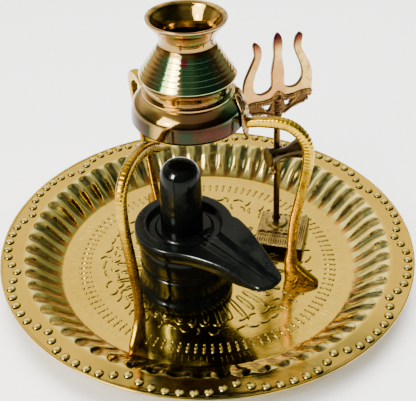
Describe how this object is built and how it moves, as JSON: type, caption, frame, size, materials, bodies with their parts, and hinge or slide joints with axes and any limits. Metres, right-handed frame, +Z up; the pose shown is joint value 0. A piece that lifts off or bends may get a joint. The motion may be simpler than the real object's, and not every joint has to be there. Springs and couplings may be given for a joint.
{
  "type": "shiva lingam worship set",
  "caption": "Stone lingam on a turned pedestal with a water pot on a three-legged stand and a trident with drum, on an embossed brass tray, for pouring water in home worship",
  "frame": {"origin": "centre of the tray's underside, on the surface the set stands on", "axes": "+Z up, the tray's axis; +Y away from the viewer of the picture; +X to the viewer's right"},
  "size_m": [0.28, 0.28, 0.1831],
  "materials": {
    "plate": "polished, embossed",
    "shivling": "polished black",
    "stand": "cast and chased, lacquered",
    "kalash": "mirror polished",
    "trident": "cast, darkened in the recesses, red tips",
    "damaru": "dark antique",
    "trident_plinth": "cast, darkened in the recesses"
  },
  "bodies": {
    "root": {"plate": "plate", "shivling": "shivling", "leg_right": "stand", "leg_back": "stand", "leg_front_left": "stand", "kalash": "kalash", "trident": "trident", "damaru": "damaru", "trident_plinth": "trident_plinth"}
  },
  "joints": []
}
